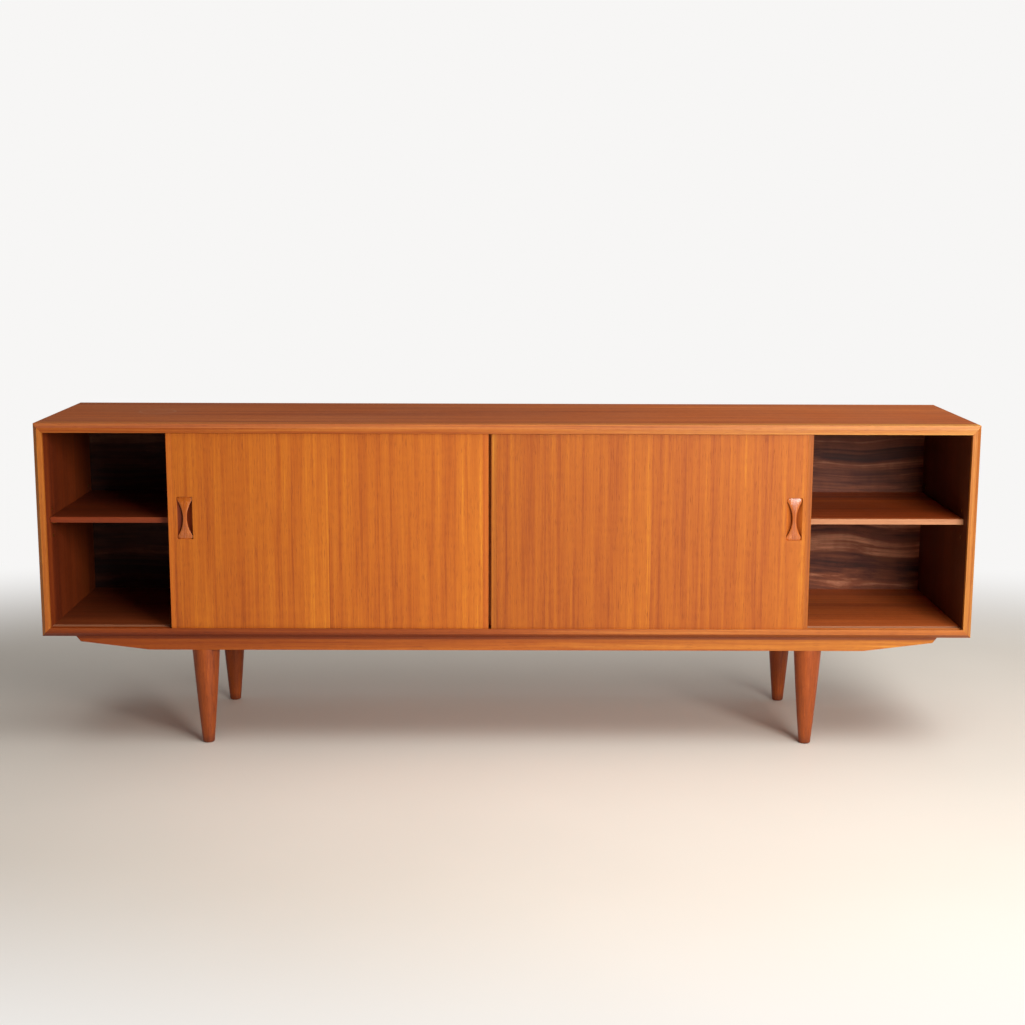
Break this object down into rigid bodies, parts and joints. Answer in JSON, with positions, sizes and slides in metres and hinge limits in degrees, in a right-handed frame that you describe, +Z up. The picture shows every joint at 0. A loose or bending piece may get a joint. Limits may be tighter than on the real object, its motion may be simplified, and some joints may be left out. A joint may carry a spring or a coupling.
{
  "type": "sideboard buffet",
  "caption": "Long low teak sideboard with sliding doors, bow-tie pulls, open shelves, a tapered plinth and turned tapering legs.",
  "frame": {"origin": "on the floor, midway between the case's ends and between its front and back", "axes": "+X to the right as one faces the doors, -Y out of the front, +Z up"},
  "size_m": [2.3, 0.47, 0.812],
  "materials": {
    "case_veneer": "oiled teak veneer",
    "inner_veneer": "oiled reddish veneer",
    "back_veneer": "matt figured veneer",
    "door_veneer": "oiled teak veneer with vertical grain",
    "solid_edge": "oiled solid teak",
    "turned_teak": "oiled solid teak",
    "frame_wood": "plain sawn wood",
    "beech": "plain beech",
    "brass": "brushed",
    "zinc_steel": "zinc plated"
  },
  "bodies": {
    "case": {"back_panel": "back_veneer", "back_panel_screws": "zinc_steel", "bottom_panel": "case_veneer", "bottom_rail": "solid_edge", "centre_shelf": "inner_veneer", "centre_shelf_lipping": "solid_edge", "centre_shelf_pins": "brass", "divider_dowels": "beech", "front_apron": "solid_edge", "front_left_leg": "turned_teak", "front_right_leg": "turned_teak", "left_cross_rail": "frame_wood", "left_divider": "inner_veneer", "left_lipping": "solid_edge", "left_shelf": "inner_veneer", "left_shelf_lipping": "solid_edge", "left_shelf_pins": "brass", "left_side": "case_veneer", "leg_bolts": "zinc_steel", "leg_inserts": "brass", "mitre_splines": "beech", "plinth_screws": "zinc_steel", "rear_apron": "solid_edge", "rear_left_leg": "turned_teak", "rear_right_leg": "turned_teak", "right_cross_rail": "frame_wood", "right_divider": "inner_veneer", "right_lipping": "solid_edge", "right_shelf": "inner_veneer", "right_shelf_lipping": "solid_edge", "right_shelf_pins": "brass", "right_side": "case_veneer", "shelf_pin_sockets": "brass", "top_panel": "case_veneer", "top_rail": "solid_edge"},
    "left_door": {"left_door_left_edge": "solid_edge", "left_door_panel": "door_veneer", "left_door_pull": "turned_teak", "left_door_right_edge": "solid_edge"},
    "right_door": {"right_door_left_edge": "solid_edge", "right_door_panel": "door_veneer", "right_door_pull": "turned_teak", "right_door_right_edge": "solid_edge"},
    "centre_door": {"centre_door_left_edge": "solid_edge", "centre_door_panel": "door_veneer", "centre_door_pull": "turned_teak", "centre_door_right_edge": "solid_edge"}
  },
  "joints": [
    {"name": "left_door_slide", "type": "slide", "parent": "case", "child": "left_door", "axis": [1, 0, 0], "range_m": [-0.298, 0.003]},
    {"name": "right_door_slide", "type": "slide", "parent": "case", "child": "right_door", "axis": [1, 0, 0], "range_m": [-0.003, 0.384]},
    {"name": "centre_door_slide", "type": "slide", "parent": "case", "child": "centre_door", "axis": [1, 0, 0], "range_m": [-0.736, 0.736]}
  ]
}
